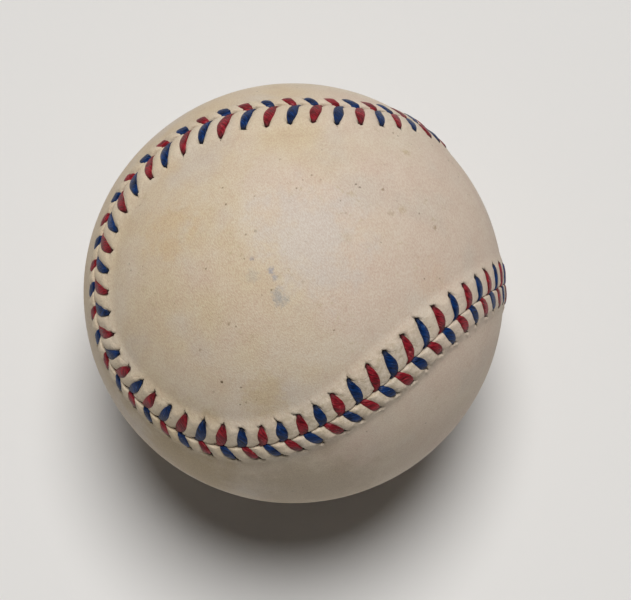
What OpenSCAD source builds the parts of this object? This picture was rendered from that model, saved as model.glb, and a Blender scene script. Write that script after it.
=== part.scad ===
// Baseball: a cushioned cork core, four wound yarn layers, a coat of cement
// and two interlocking leather panels, sewn along one closed seam with two
// threads. The origin is the centre of the ball. The panels' necks lie on X,
// panel A has its lobes on Z and panel B has its lobes on Y.

/* [Core] */
// Diameter of the cork and rubber ball in the middle
core_d = 20.6; // [16:0.1:24]
// Wall of the two black rubber half shells
black_wall = 3.95; // [3:0.05:5]
// Height of the rubber washer between the half shells
washer_h = 1; // [0.6:0.1:1.6]
// Wall of the red rubber layer
red_wall = 2.4; // [1.5:0.1:3.5]

/* [Windings] */
// Depth of the first winding, coarse grey wool
grey_wool_depth = 14.6; // [12:0.1:16]
// Depth of the second winding, white wool
white_wool_depth = 1.8; // [1:0.1:3]
// Depth of the third winding, fine grey wool
fine_wool_depth = 2.2; // [1:0.1:3]
// Depth of the last winding, cotton
cotton_depth = 0.4; // [0.3:0.05:1]
// Thickness of the coat of cement
cement_t = 0.15; // [0.1:0.05:0.3]
// Gap between each layer and the one around it
layer_gap = 0.02; // [0.01:0.01:0.05]

/* [Cover] */
// Thickness of the leather
leather_t = 1.1; // [0.9:0.05:1.4]
// Distance between the seams across the neck of a panel
neck_w = 29.7; // [26:0.1:34]
// Width of the raised edge of a panel, from the middle of the seam
welt_w = 5.2; // [4.8:0.1:6]
// How much of that width is flat on top
flat_w = 3.4; // [3:0.1:3.8]
// Width of the hollow under the raised edge, for the thread
hollow_w = 4.6; // [4.4:0.1:5.6]
// Distance from the middle of the seam to the needle holes
hole_off = 3.5; // [3.2:0.1:3.8]

/* [Stitches] */
// Number of stitches on each panel
stitch_count = 108; // [96:4:116]
// How far a stitch of panel A leans along the seam
lean_a = 1.9; // [1.5:0.1:2.2]
// How far a stitch of panel B leans along the seam
lean_b = 1.3; // [1:0.1:1.6]
// How far the stitches of panel B dive behind those of panel A
dive_lag = 1.3; // [1.2:0.05:1.6]
// Distance from the edge of panel A's neck to the first stitch
first_stitch = 2.5; // [0:0.1:3.5]
// Width of a stitch where it is pressed flat on the leather
stitch_w = 1.5; // [1.2:0.05:1.8]
// Thickness of a stitch on the leather
stitch_t = 0.55; // [0.4:0.05:0.7]
// How deep a stitch presses into the leather
dent_t = 0.3; // [0.1:0.05:0.4]
// Width of the thread in a hole, in the seam and under the leather
thread_w = 0.9; // [0.8:0.05:1]
// Thickness of the thread in a hole, in the seam and under the leather
thread_t = 0.4; // [0.3:0.05:0.5]
// Gap between the thread and the face of the leather or the cement
thread_gap = 0.06; // [0.05:0.01:0.1]
// Gap between the thread and the edge of the leather, on each side of the seam
edge_gap = 0.13; // [0.12:0.01:0.2]
// Gap around the thread in a needle hole
hole_gap = 0.35; // [0.3:0.05:0.4]

/* [Hidden] */
$fn = 96;

// Radii, from the middle outwards
core_r = core_d / 2;
black_in_r = core_r + layer_gap;
black_r = black_in_r + black_wall;
red_in_r = black_r + layer_gap;
red_r = red_in_r + red_wall;
grey_in_r = red_r + layer_gap;
grey_r = grey_in_r + grey_wool_depth;
white_in_r = grey_r + layer_gap;
white_r = white_in_r + white_wool_depth;
fine_in_r = white_r + layer_gap;
fine_r = fine_in_r + fine_wool_depth;
cotton_in_r = fine_r + layer_gap;
cotton_r = cotton_in_r + cotton_depth;
cement_in_r = cotton_r + layer_gap;
cement_r = cement_in_r + cement_t;
leather_in_r = cement_r + layer_gap;
ball_r = leather_in_r + leather_t;

// Overrun of the cuts, and the reach of the wedges that part the panels
cut = 0.2;
far_r = 2 * ball_r;

// The seam on a unit ball. Its polar angle from X swings between the two necks
// while it goes once round X, and A is half the angle across a neck.
neck_angle = (neck_w / 2) / ball_r * 180 / PI;
function seam_dir(t) =
    let (polar = 90 - (90 - neck_angle) * cos(2 * t),
         round = t + neck_angle * sin(4 * t))
    [cos(polar), -sin(polar) * cos(round), sin(polar) * sin(round)];

// Distance along the seam at each step of t, so that stitches are evenly spaced
seam_steps = 720;
t_step = 360 / seam_steps;
seam_table = [for (i = 0, s = 0; i <= seam_steps;
                   s = s + ball_r * norm(seam_dir((i + 1) * t_step) - seam_dir(i * t_step)),
                   i = i + 1) [s, i * t_step]];
seam_len = seam_table[seam_steps][0];
pitch = seam_len / stitch_count;
function wrap(x, period) = (x % period + period) % period;
function unit(v) = v / norm(v);
function seam_t(s) = lookup(wrap(s, seam_len), seam_table);
function seam_along(s) =
    let (t = seam_t(s)) unit(seam_dir(t + t_step) - seam_dir(t - t_step));

// The edges of the panels stand apart by the thread that dives between them.
seam_gap = thread_t + 2 * edge_gap;
hole_d = thread_w + 2 * hole_gap;

// The thread that runs under a panel, straight from the seam to a hole, lifts
// the edge of the panel. In the middle of its run it lies lower by its sag.
under_run = norm([pitch + dive_lag - lean_a, hole_off]);
under_sag = under_run * under_run / 8 / ball_r;
welt_rise = thread_t + 2 * thread_gap + under_sag;

// A dent is an arc as wide as the stitch and as deep as the stitch presses
dent_r = (stitch_w * stitch_w / 4 / dent_t + dent_t) / 2;
dent_h = welt_rise - dent_t + dent_r;

// A place on the ball: s along the seam, u across it towards panel A, and h
// above the face of the leather
function spot(s, u, h) =
    let (out = seam_dir(seam_t(s)),
         across = cross(seam_along(s), out),
         turn = u / ball_r * 180 / PI)
    (ball_r + h) * (out * cos(turn) + across * sin(turn));

// Triangles between rings of n points each, and over the first and last ring
function skin(rings, n) =
    [for (i = [0 : rings - 2], j = [0 : n - 1])
        let (a = i * n + j, b = i * n + (j + 1) % n)
        each [[a, b + n, b], [a, a + n, b + n]]];
function end_skin(first, n, flip) =
    [for (j = [1 : n - 2]) flip ? [first, first + j + 1, first + j]
                                : [first, first + j, first + j + 1]];
function flipped(faces) = [for (f = faces) [f[2], f[1], f[0]]];

module layer(outer_r, inner_r) {
    difference() {
        sphere(r = outer_r);
        sphere(r = inner_r);
    }
}

module cork_core() {
    color("peru") sphere(r = core_r);
}

// One half of the black shell, with a flat rim that rests on the washer
module half_shell() {
    intersection() {
        layer(black_r, black_in_r);
        translate([0, 0, washer_h / 2 + layer_gap])
            cylinder(r = far_r, h = black_r);
    }
}

module black_shell_upper() {
    color([0.12, 0.12, 0.13]) half_shell();
}

module black_shell_lower() {
    color([0.12, 0.12, 0.13]) mirror([0, 0, 1]) half_shell();
}

module core_washer() {
    color("firebrick") intersection() {
        layer(black_r, black_in_r);
        cylinder(r = far_r, h = washer_h, center = true);
    }
}

module red_rubber_layer() {
    color("indianred") layer(red_r, red_in_r);
}

module grey_wool_winding() {
    color("gray") layer(grey_r, grey_in_r);
}

module white_wool_winding() {
    color("whitesmoke") layer(white_r, white_in_r);
}

module fine_wool_winding() {
    color("darkgray") layer(fine_r, fine_in_r);
}

module cotton_winding() {
    color("ivory") layer(cotton_r, cotton_in_r);
}

module cement_coat() {
    color([0.83, 0.72, 0.5]) layer(cement_r, cement_in_r);
}

// Everything on one side of the seam, from the middle of the ball outwards.
// Each row of walls is [inset, radius]: the distance kept from the seam, and how
// far out that holds. Its outer face is a ladder of rungs across the panel, each
// from this share of the way between two stitches. side is 1 for panel A and -1
// for panel B.
rung_share = 0.5;
module panel_wedge(side, walls) {
    n = stitch_count;
    last = len(walls) - 1;
    rings = [for (w = walls, i = [0 : n - 1]) w[1] * unit(spot((i + rung_share) * pitch, side * w[0], 0))];
    middle = len(rings);
    cone = [for (i = [0 : n - 1]) [middle, i, (i + 1) % n]];
    sides = skin(last + 1, n);
    tip = side > 0 ? n / 4 : 0;
    ladder = [for (j = [0 : n / 2 - 2])
        let (a = wrap(tip + j, n), b = wrap(tip - 1 - j, n), c = (a + 1) % n, d = wrap(b - 1, n))
        each [[a, b, c], [b, d, c]]];
    lid = [for (f = ladder) [for (p = f) p + last * n]];
    faces = concat(cone, sides, lid);
    polyhedron(concat(rings, [[0, 0, 0]]), side > 0 ? flipped(faces) : faces);
}

// A ball whose own poles and meridian lie outside this panel, on the other one
module panel_ball(side, r) {
    rotate(side > 0 ? [90, 0, 180] : [0, 0, 0]) sphere(r = r);
}

// Place of needle hole i along the seam
function hole_s(i, side) =
    first_stitch + i * pitch - (side > 0 ? lean_a : dive_lag + lean_b);

// Turns a cylinder's Z axis to point along way
module toward(way) {
    rotate([0, acos(way[2] / norm(way)), atan2(way[1], way[0])]) children();
}

module needle_holes(side) {
    for (i = [0 : stitch_count - 1])
        toward(spot(hole_s(i, side), side * hole_off, 0))
            translate([0, 0, ball_r - leather_t / 2])
                cylinder(d = hole_d, h = leather_t + 2 * (welt_rise + cut), center = true, $fn = 16);
}

// The round dents that the stitches press into the raised edge
module stitch_dents(side) {
    for (i = [0 : stitch_count - 1]) {
        from = spot(hole_s(i, side), side * hole_off, dent_h);
        way = spot(dive_s(i, side), 0, dent_h) - from;
        translate(from) toward(way) cylinder(r = dent_r, h = norm(way), $fn = 24);
    }
}

// The leather rises to a flat top beside the seam, down a ramp from there, and
// is hollowed below by as much
module cover_panel(side) {
    edge = seam_gap / 2;
    slope = (welt_w - flat_w) / welt_rise;
    ramp = [[welt_w + slope * cut, ball_r - cut],
            [flat_w - slope * cut, ball_r + welt_rise + cut],
            [flat_w - slope * cut, far_r]];
    difference() {
        intersection() {
            panel_ball(side, ball_r + welt_rise);
            panel_wedge(side, [[edge, far_r]]);
        }
        difference() {
            panel_wedge(side, ramp);
            panel_ball(side, ball_r);
        }
        panel_ball(side, leather_in_r);
        difference() {
            panel_ball(side, leather_in_r + welt_rise);
            panel_wedge(side, [[hollow_w, far_r]]);
        }
        needle_holes(side);
        stitch_dents(side);
    }
}

module cover_panel_a() {
    color([0.8, 0.74, 0.64]) cover_panel(1);
}

module cover_panel_b() {
    color([0.8, 0.74, 0.64]) cover_panel(-1);
}

// A thread goes under a panel, up through its hole, over the leather and down
// into the seam, and then does the same on the other panel. Each row here is a
// place on that way: [s, u, h, width, thickness].
over_h = welt_rise - dent_t + 2 * thread_gap + stitch_t / 2;
under_h = -leather_t - layer_gap + thread_gap + under_sag + thread_t / 2;
function dive_s(i, side) = first_stitch + i * pitch - (side > 0 ? 0 : dive_lag);
function stitch_way(i, side) =
    let (in_s = hole_s(i, side), out_s = dive_s(i, side), from_u = side * hole_off)
    [[in_s, from_u, under_h, thread_w, thread_t],
     [in_s, from_u, over_h, thread_w, stitch_t],
     [(in_s + out_s) / 2, from_u / 2, over_h, stitch_w, stitch_t],
     [out_s, 0, over_h, thread_w, thread_t],
     [out_s, 0, under_h, thread_w, thread_t]];

// Both ends are tucked under the leather, on the way from the last stitch to
// the first, and each reaches over this share of that way
tail_share = 0.3;
lap = [seam_len, 0, 0, 0, 0];
function thread_way(first_side) =
    let (body = [for (i = [0 : stitch_count - 1])
                    each stitch_way(i, i % 2 == 0 ? first_side : -first_side)],
         start = body[0],
         end = body[len(body) - 1])
    concat([start + tail_share * (end - lap - start)],
           body,
           [end + tail_share * (start + lap - end)]);
function thread_mid(way) = [for (p = way) spot(p[0], p[1], p[2])];

// The thread is a flattened tube with this many sides
tube_sides = 6;
side_turn = 360 / tube_sides;

module thread(first_side) {
    way = thread_way(first_side);
    last = len(way) - 1;
    mid = thread_mid(way);
    rings = [for (i = [0 : last])
        let (along = unit(mid[min(i + 1, last)] - mid[max(i - 1, 0)]),
             seam = seam_along(way[i][0]),
             wide = unit(seam - (seam * along) * along) * way[i][3] / 2,
             thick = cross(along, unit(wide)) * way[i][4] / 2)
        each [for (j = [0 : tube_sides - 1])
            mid[i] + cos(j * side_turn) * wide + sin(j * side_turn) / sin(side_turn) * thick]];
    faces = concat(skin(last + 1, tube_sides),
                   end_skin(0, tube_sides, false),
                   end_skin(tube_sides * last, tube_sides, true));
    polyhedron(rings, faces);
}

module red_thread() {
    color([0.6, 0.15, 0.18]) thread(1);
}

module blue_thread() {
    color([0.1, 0.23, 0.47]) thread(-1);
}

// Length of a thread, and the least gap between the two, on their own points
// and as wide as they are there
function way_len(mid) = [for (i = 1, sum = 0; i <= len(mid);
                              sum = sum + (i < len(mid) ? norm(mid[i] - mid[i - 1]) : 0),
                              i = i + 1) sum][len(mid) - 1];
function least_gap(a, b) =
    let (mid_a = thread_mid(a), mid_b = thread_mid(b), reach = len(stitch_way(0, 1)))
    min([for (i = [0 : len(a) - 1], j = [max(0, i - reach) : min(len(b) - 1, i + reach)])
        norm(mid_a[i] - mid_b[j]) - (a[i][3] + b[j][3]) / 2]);
module measures() {
    red = thread_way(1);
    blue = thread_way(-1);
    echo(ball_d = 2 * ball_r, round_mm = 2 * PI * ball_r, seam_mm = seam_len, pitch_mm = pitch);
    echo(welt_rise = welt_rise, thread_mm = way_len(thread_mid(red)), least_gap_mm = least_gap(red, blue));
}

measures();
cork_core();
black_shell_upper();
black_shell_lower();
core_washer();
red_rubber_layer();
grey_wool_winding();
white_wool_winding();
fine_wool_winding();
cotton_winding();
cement_coat();
cover_panel_a();
cover_panel_b();
red_thread();
blue_thread();
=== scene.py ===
"""A sewn leather baseball: two interlocking panels with raised edges, needle holes and
dented welts, and the two waxed threads that sew them, one red and one blue. The core and
the windings inside keep their CAD shapes.

Sizes are in millimetres, as on a maker's drawing, and every mesh is made in metres.
The origin is the centre of the ball. The panels' necks lie on X, panel A has its lobes
on Z and panel B has its lobes on Y.
"""
from __future__ import annotations

import logging
import math
from dataclasses import dataclass, field
from enum import Enum
from typing import Any, Sequence

import bpy
import numpy as np
from mathutils import Matrix, Vector, noise

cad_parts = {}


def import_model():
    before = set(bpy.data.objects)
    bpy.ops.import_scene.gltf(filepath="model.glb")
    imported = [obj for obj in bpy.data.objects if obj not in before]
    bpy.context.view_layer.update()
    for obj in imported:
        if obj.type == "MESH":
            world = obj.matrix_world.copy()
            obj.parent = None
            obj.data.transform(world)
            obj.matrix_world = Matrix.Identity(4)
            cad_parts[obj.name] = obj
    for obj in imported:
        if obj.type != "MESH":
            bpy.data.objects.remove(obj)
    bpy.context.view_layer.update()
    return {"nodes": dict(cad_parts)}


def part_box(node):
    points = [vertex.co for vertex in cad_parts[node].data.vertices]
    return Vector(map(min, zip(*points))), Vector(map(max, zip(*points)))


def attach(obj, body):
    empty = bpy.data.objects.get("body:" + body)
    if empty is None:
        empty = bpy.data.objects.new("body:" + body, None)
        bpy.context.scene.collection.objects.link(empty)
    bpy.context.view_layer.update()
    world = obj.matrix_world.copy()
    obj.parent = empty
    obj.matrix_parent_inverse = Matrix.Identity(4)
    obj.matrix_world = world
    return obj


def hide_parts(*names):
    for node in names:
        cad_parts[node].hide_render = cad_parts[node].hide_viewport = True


MM = 0.001
LAYER_GAP = 0.02
LOG = logging.getLogger("baseball")

Colour = tuple[float, float, float]
Amount = float | np.ndarray
Three = tuple[np.ndarray, np.ndarray, np.ndarray]
Faces = list[list[int]]


class Side(Enum):
    """The two leather panels. The value is the sign of u, the distance from the seam."""

    A = 1
    B = -1

    @property
    def other(self) -> Side:
        """The panel across the seam."""
        return Side.B if self is Side.A else Side.A


def smooth(value: np.ndarray, low: float, high: float) -> np.ndarray:
    """Rises gently from 0 at low to 1 at high.

    Args:
        value: Where to evaluate it.
        low: The value at which it leaves 0.
        high: The value at which it reaches 1.

    Returns:
        The eased share, from 0 to 1.
    """
    share = np.clip((value - low) / (high - low), 0.0, 1.0)
    return share * share * (3.0 - 2.0 * share)


def bell(value: np.ndarray, width: float) -> np.ndarray:
    """A bell curve that is 1 at zero and falls off over width."""
    return np.exp(-((value / width) ** 2))


def unit(ways: np.ndarray) -> np.ndarray:
    """Makes each direction one long."""
    return ways / np.linalg.norm(ways, axis=-1, keepdims=True)


def linear(value: int) -> float:
    """One channel of a colour as a screen shows it, 0 to 255, as Blender's linear value."""
    share = value / 255.0
    return share / 12.92 if share <= 0.04045 else ((share + 0.055) / 1.055) ** 2.4


def srgb(red: int, green: int, blue: int) -> Colour:
    """Turns a colour as a screen shows it into Blender's linear values."""
    return linear(red), linear(green), linear(blue)


def mesh_object(name: str, points: np.ndarray, faces: Faces, marks: list[tuple[float, float]] | None = None,
                **kept: np.ndarray) -> bpy.types.Object:
    """Makes a smooth-shaded mesh whose faces point outwards.

    Args:
        name: Name of the object and of its mesh.
        points: Vertices in millimetres.
        faces: Rows of vertex numbers.
        marks: A place on the UV map "along" for each corner of each face.
        kept: Attributes of the points, such as how much dirt and painted shade each gets, from 0 to 1.

    Returns:
        The new object, at the origin, selected and active.
    """
    mesh = bpy.data.meshes.new(name)
    mesh.from_pydata((points * MM).tolist(), [], faces)
    for key, values in kept.items():
        mesh.attributes.new(key, "FLOAT", "POINT").data.foreach_set("value", values.astype(np.float32))
    if marks is not None:
        mesh.uv_layers.new(name="along").data.foreach_set("uv", np.asarray(marks, np.float32).ravel())
    made = bpy.data.objects.new(name, mesh)
    bpy.context.scene.collection.objects.link(made)
    bpy.ops.object.select_all(action="DESELECT")
    made.select_set(True)
    bpy.context.view_layer.objects.active = made
    bpy.ops.object.mode_set(mode="EDIT")
    bpy.ops.mesh.select_all(action="SELECT")
    bpy.ops.mesh.normals_make_consistent(inside=False)
    bpy.ops.object.mode_set(mode="OBJECT")
    bpy.ops.object.shade_smooth()
    return made


@dataclass(frozen=True)
class Drift:
    """A stretch of the seam where the hand that sewed it strayed from the even pattern.

    The stitch and the reach are counted in stitches, and the rest are millimetres at the
    middle of the stretch: the seam's shift towards panel A and along itself, what panel A's
    stitches lean more, and what the stitches of panel A and of panel B are longer. The last
    is a share, by which the raised edge is lower.
    """

    stitch: float
    reach: float
    sideways: float = 0.0
    forward: float = 0.0
    lean: float = 0.0
    longer_a: float = 0.0
    longer_b: float = 0.0
    lower: float = 0.0


@dataclass
class Seam:
    """The closed seam on the ball, and the places of the stitches along it.

    A place is s along the seam, u across it, positive on panel A, and h above the plain
    ball, where the leather's face is away from the seam.
    """

    ball_r: float
    neck_w: float = 29.7
    stitch_count: int = 108
    first_stitch: float = 2.5
    lean_a: float = 1.9
    lean_b: float = 1.3
    bend_a: float = 0.5
    bend_b: float = 0.87
    dive_lag: float = 0.9
    hole_off: float = 3.5
    drifts: tuple[Drift, ...] = (
        Drift(10.0, 8.0, sideways=0.2, forward=0.3, longer_a=0.6, longer_b=0.15),
        Drift(13.0, 13.0, lean=-0.85),
        Drift(21.0, 7.0, forward=-1.0),
        Drift(36.0, 16.0, longer_b=-0.9),
        Drift(38.0, 9.0, sideways=-1.6, longer_a=0.45),
        Drift(37.0, 11.0, lean=0.85),
        Drift(4.0, 3.5, forward=0.3, lean=-0.9),
        Drift(11.0, 2.5, forward=0.3, sideways=-0.35, longer_a=0.8, lean=0.3),
        Drift(22.0, 2.5, forward=0.4, sideways=-0.8, longer_a=0.8),
        Drift(26.0, 2.2, forward=-0.45, longer_a=0.4),
        Drift(34.0, 5.0, longer_a=1.0, sideways=-0.1),
        Drift(36.5, 3.0, forward=0.25, lean=-0.5),
        Drift(41.0, 3.5, forward=0.2, sideways=-0.8, longer_a=1.1, lean=-0.2),
        Drift(46.0, 4.0, forward=0.5, longer_a=0.9),
        Drift(51.0, 2.6, forward=0.5, sideways=0.6, longer_a=0.2),
        Drift(52.0, 4.2, lower=0.68),
        Drift(1.5, 4.0, lower=0.5),
        Drift(67.0, 12.0, sideways=0.7, lean=-0.5, longer_a=0.3),
        Drift(92.0, 11.0, sideways=-0.5, lean=0.4, longer_a=0.2),
    )
    shorter_b: float = 0.3
    steps: int = 2880
    turns: np.ndarray = field(init=False, repr=False)
    lengths: np.ndarray = field(init=False, repr=False)

    def __post_init__(self) -> None:
        """Measures the seam, so that stitches are evenly spaced along it."""
        self.turns = np.linspace(0.0, 2.0 * math.pi, self.steps + 1)
        ring = self.direction(self.turns)
        chords = self.ball_r * np.linalg.norm(np.diff(ring, axis=0), axis=1)
        self.lengths = np.concatenate([[0.0], np.cumsum(chords)])

    @property
    def length(self) -> float:
        """Length of the whole seam."""
        return float(self.lengths[-1])

    @property
    def pitch(self) -> float:
        """Distance between two stitches of one panel."""
        return self.length / self.stitch_count

    def lean(self, side: Side) -> float:
        """How far a stitch of this panel leans along the seam."""
        return self.lean_a if side is Side.A else self.lean_b

    def way(self, share: np.ndarray, side: Side) -> np.ndarray:
        """How far along itself a stitch is, 0 at its hole, for a share of the way from the seam."""
        return 1.0 - np.clip(share, 0.0, 1.0) ** (self.bend_a if side is Side.A else self.bend_b)

    def dive_s(self, index: Amount, side: Side) -> Amount:
        """Where stitches of this panel go down into the seam."""
        lag = 0.0 if side is Side.A else self.dive_lag
        return self.first_stitch + index * self.pitch - lag

    def hole_s(self, index: Amount, side: Side) -> Amount:
        """Where stitches of this panel come up through their holes."""
        return self.dive_s(index, side) - self.lean(side)

    def direction(self, turn: np.ndarray) -> np.ndarray:
        """Points of the seam on a unit ball.

        Args:
            turn: How far round the seam they are, from 0 to a full circle.

        Returns:
            The points, one row each.
        """
        neck = self.neck_w / 2.0 / self.ball_r
        polar = math.pi / 2.0 - (math.pi / 2.0 - neck) * np.cos(2.0 * turn)
        around = turn + neck * np.sin(4.0 * turn)
        return np.stack(
            [np.cos(polar), -np.sin(polar) * np.cos(around), np.sin(polar) * np.sin(around)], axis=-1
        )

    def frame(self, s: np.ndarray) -> Three:
        """Directions at places along the seam.

        Args:
            s: Distances along the seam.

        Returns:
            Outward, forward and sideways directions, the last towards panel A.
        """
        turn = np.interp(np.mod(s, self.length), self.lengths, self.turns)
        step = 2.0 * math.pi / self.steps
        out = self.direction(turn)
        along = unit(self.direction(turn + step) - self.direction(turn - step))
        return out, along, np.cross(along, out)

    def strayed(self, s: np.ndarray, u: np.ndarray, h: np.ndarray) -> Three:
        """Moves places of the even pattern to where the sewing put them.

        Args:
            s: Distances along the seam.
            u: Distances from the middle of the seam.
            h: Heights above the plain ball.

        Returns:
            The moved s, u and h.
        """
        share = np.clip(np.abs(u) / self.hole_off, 0.0, 1.0)
        on_a = (u > 0.0).astype(float)
        on_b = 1.0 - on_a
        ahead, aside, low = np.zeros_like(s), self.shorter_b * share * on_b, np.zeros_like(s)
        for drift in self.drifts:
            off = np.mod(s - drift.stitch * self.pitch + self.length / 2.0, self.length) - self.length / 2.0
            near = bell(off, drift.reach * self.pitch)
            ahead = ahead + near * (drift.forward - drift.lean * share * on_a)
            aside = aside + near * (drift.sideways + (drift.longer_a * on_a - drift.longer_b * on_b) * share)
            low = low + near * drift.lower
        return s + ahead, u + aside, np.where(h > 0.0, h * (1.0 - low), h)

    def spot(self, s: np.ndarray, u: np.ndarray, h: np.ndarray) -> np.ndarray:
        """Places on the ball as points in space.

        Args:
            s: Distances along the seam.
            u: Distances from the middle of the seam.
            h: Heights above the plain ball.

        Returns:
            The points, one row each.
        """
        s, u, h = self.strayed(s, u, h)
        out, _, across = self.frame(s)
        turn = (u / self.ball_r)[..., None]
        return (self.ball_r + h)[..., None] * (out * np.cos(turn) + across * np.sin(turn))


@dataclass
class Handwork:
    """How far each stitch strays from the even pattern, as hand sewing does."""

    seam: Seam
    seed: int = 7
    stray_s: float = 0.2
    stray_u: float = 0.27
    stray_width: float = 0.17
    pull_range: tuple[float, float] = (0.75, 1.2)
    tear_turn: dict[Side, float] = field(default_factory=lambda: {Side.A: 78.0, Side.B: 139.0})
    tear_stray: float = 36.0
    tear_length: dict[Side, tuple[float, float]] = field(
        default_factory=lambda: {Side.A: (0.5, 1.05), Side.B: (0.85, 1.6)})
    worst_stitch: float = 13.0
    worst_reach: float = 7.0
    worst_more: float = 0.45

    def __post_init__(self) -> None:
        """Draws one set of numbers for each panel."""
        draw = np.random.default_rng(self.seed)
        count = self.seam.stitch_count
        self.hole_shift = {side: draw.uniform(-1.0, 1.0, (count, 2)) * (self.stray_s, self.stray_u)
                           for side in Side}
        self.width = {side: 1.0 + draw.uniform(-1.0, 1.0, count) * self.stray_width for side in Side}
        self.pull = {side: draw.uniform(*self.pull_range, count) for side in Side}
        self.pucker = {side: draw.uniform(0.0, 2.0 * math.pi, count) for side in Side}
        self.tear = {side: self.tears(draw, side) for side in Side}

    def tears(self, draw: np.random.Generator, side: Side) -> np.ndarray:
        """How the thread has torn each hole of a panel.

        Args:
            draw: Where the chances come from.
            side: The panel.

        Returns:
            For each stitch how far its tear reaches along the seam and away from it.
        """
        count = self.seam.stitch_count
        turn = np.radians(self.tear_turn[side] + draw.uniform(-self.tear_stray, self.tear_stray, count))
        length = draw.uniform(*self.tear_length[side], count)
        if side is Side.A:
            worst = bell(np.arange(count) - self.worst_stitch, self.worst_reach)
            length = length * (1.0 + self.worst_more * worst)
        return np.stack([length * np.cos(turn), length * np.sin(turn)], axis=-1)


@dataclass
class LeatherPanel:
    """One panel of the cover, a closed shell with a raised, rounded and sewn edge.

    A fade is where something ends: the last place with all of it and the first without.
    Those of the sewn dents and of the dirt and painted shade are counted from the holes.
    """

    seam: Seam
    work: Handwork
    side: Side
    inner_r: float
    columns: int = 16
    welt_rise: float = 0.6
    welt_fade: tuple[float, float] = (3.0, 5.6)
    edge_round: float = 0.4
    edge_gap: float = 0.02
    edge_least: float = 0.1
    edge_fade: tuple[float, float] = (0.3, 2.4)
    dive_gap: float = 0.24
    dive_past: float = 0.25
    dive_width: float = 0.55
    groove_depth: float = 0.34
    groove_width: float = 0.72
    pillow_rise: dict[Side, float] = field(default_factory=lambda: {Side.A: 0.26, Side.B: 0.4})
    pillow_low: float = 0.35
    sewn_fade: tuple[float, float] = (-0.3, 0.5)
    hollow_rise: float = 0.58
    hollow_fade: tuple[float, float] = (4.2, 4.9)
    hole_long: float = 0.42
    hole_wide: float = 0.38
    hole_sink: float = 0.38
    hole_sink_reach: float = 1.35
    hole_rim: float = 0.14
    tear_depth: float = 0.3
    tear_width: float = 0.26
    tear_taper: float = 0.16
    lip_rise: dict[Side, float] = field(default_factory=lambda: {Side.A: 0.12, Side.B: 0.3})
    lip_off: float = 0.5
    lip_width: float = 0.27
    lip_beat: float = 0.7
    lip_even: float = 0.6
    lip_start: tuple[float, float] = (-0.35, 0.1)
    lip_end: tuple[float, float] = (-0.1, 0.5)
    fold_count: float = 4.0
    fold_rise: float = 0.05
    fold_reach: float = 2.2
    crease_rise: float = 0.05
    crease_fade: tuple[float, float] = (2.5, 6.0)
    crease_often: tuple[float, float] = (1.1, 2.6)
    wave_rise: float = 0.035
    wave_often: float = 0.16
    # Dirt and painted shade: darker round the holes, beside the stitches and in the seam groove.
    hole_soil: float = 0.4
    hole_soil_w: float = 0.7
    thread_soil: float = 0.22
    thread_soil_off: float = 0.78
    thread_soil_w: float = 0.22
    soil_fade: tuple[float, float] = (-0.4, 0.4)
    edge_soil: float = 0.12
    edge_soil_w: float = 0.16
    hole_cells: int = 2
    hole_cell_u: float = 0.22
    hole_follow: float = 1.3
    hole_blend: float = 2.2
    strip_w: float = 7.0
    inset_w: float = 8.1
    thin: int = 4
    lobe_span: int = 68
    lobe_blend: float = 0.6
    neck_rows: int = 38
    relax_rounds: int = 700

    outer_rows: tuple[float, ...] = (
        0.0, 0.06, 0.15, 0.28, 0.45, 0.68, 0.95, 1.25, 1.58, 1.92, 2.25, 2.56, 2.83,
        3.06, 3.28, 3.5, 3.72, 3.94, 4.16, 4.4, 4.66, 5.0, 5.5, 6.2, 7.0)
    inner_rows: tuple[float, ...] = (0.0, 1.2, 2.4, 3.06, 3.28, 3.5, 3.72, 3.94, 4.5, 5.2, 7.0)

    @property
    def total(self) -> int:
        """How many columns of vertices the sewn strip has all round the panel."""
        return self.seam.stitch_count * self.columns

    def edge(self, s: np.ndarray) -> np.ndarray:
        """How far the edge of the panel stays from the middle of the seam.

        Args:
            s: Distances along the seam.

        Returns:
            Distances from the middle, larger where a thread goes down.
        """
        gap = np.full_like(s, self.edge_gap)
        for side in Side:
            off = self.nearest(s - self.seam.dive_s(0.0, side) - self.dive_past)
            gap = gap + (self.dive_gap - self.edge_gap) * bell(off, self.dive_width)
        return gap

    def nearest(self, s: np.ndarray) -> np.ndarray:
        """Signed distance from a place to the nearest multiple of the pitch."""
        pitch = self.seam.pitch
        return np.mod(s + pitch / 2.0, pitch) - pitch / 2.0

    def welt(self, u: np.ndarray) -> np.ndarray:
        """How much of the raised edge there is at distances from the seam, from 0 to 1."""
        return 1.0 - smooth(u, *self.welt_fade)

    def among_stitches(self, s: np.ndarray, u: np.ndarray) -> Three:
        """Where places lie among the stitches.

        Args:
            s: Distances along the seam.
            u: Distances from the middle of the seam, positive on this panel.

        Returns:
            How many stitches along they are, how far beside the nearest stitch, and their
            share of the way from the seam to the holes.
        """
        seam = self.seam
        share = np.clip(u / seam.hole_off, 0.0, 1.0)
        middle = seam.hole_s(0.0, self.side) + seam.lean(self.side) * seam.way(share, self.side)
        along = (s - middle) / seam.pitch
        return along, (along - np.round(along)) * seam.pitch, share

    def from_hole(self, s: np.ndarray, u: np.ndarray) -> Three:
        """Where places lie, seen from the nearest needle hole.

        Args:
            s: Distances along the seam.
            u: Distances from the middle of the seam, positive on this panel.

        Returns:
            The hole's number, and the distances from it along the seam and away from it.
        """
        seam = self.seam
        off = s - seam.hole_s(0.0, self.side)
        hole = np.mod(np.round(off / seam.pitch).astype(int), seam.stitch_count)
        shift = self.work.hole_shift[self.side][hole]
        return hole, self.nearest(off) - shift[..., 0], u - seam.hole_off - shift[..., 1]

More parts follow.
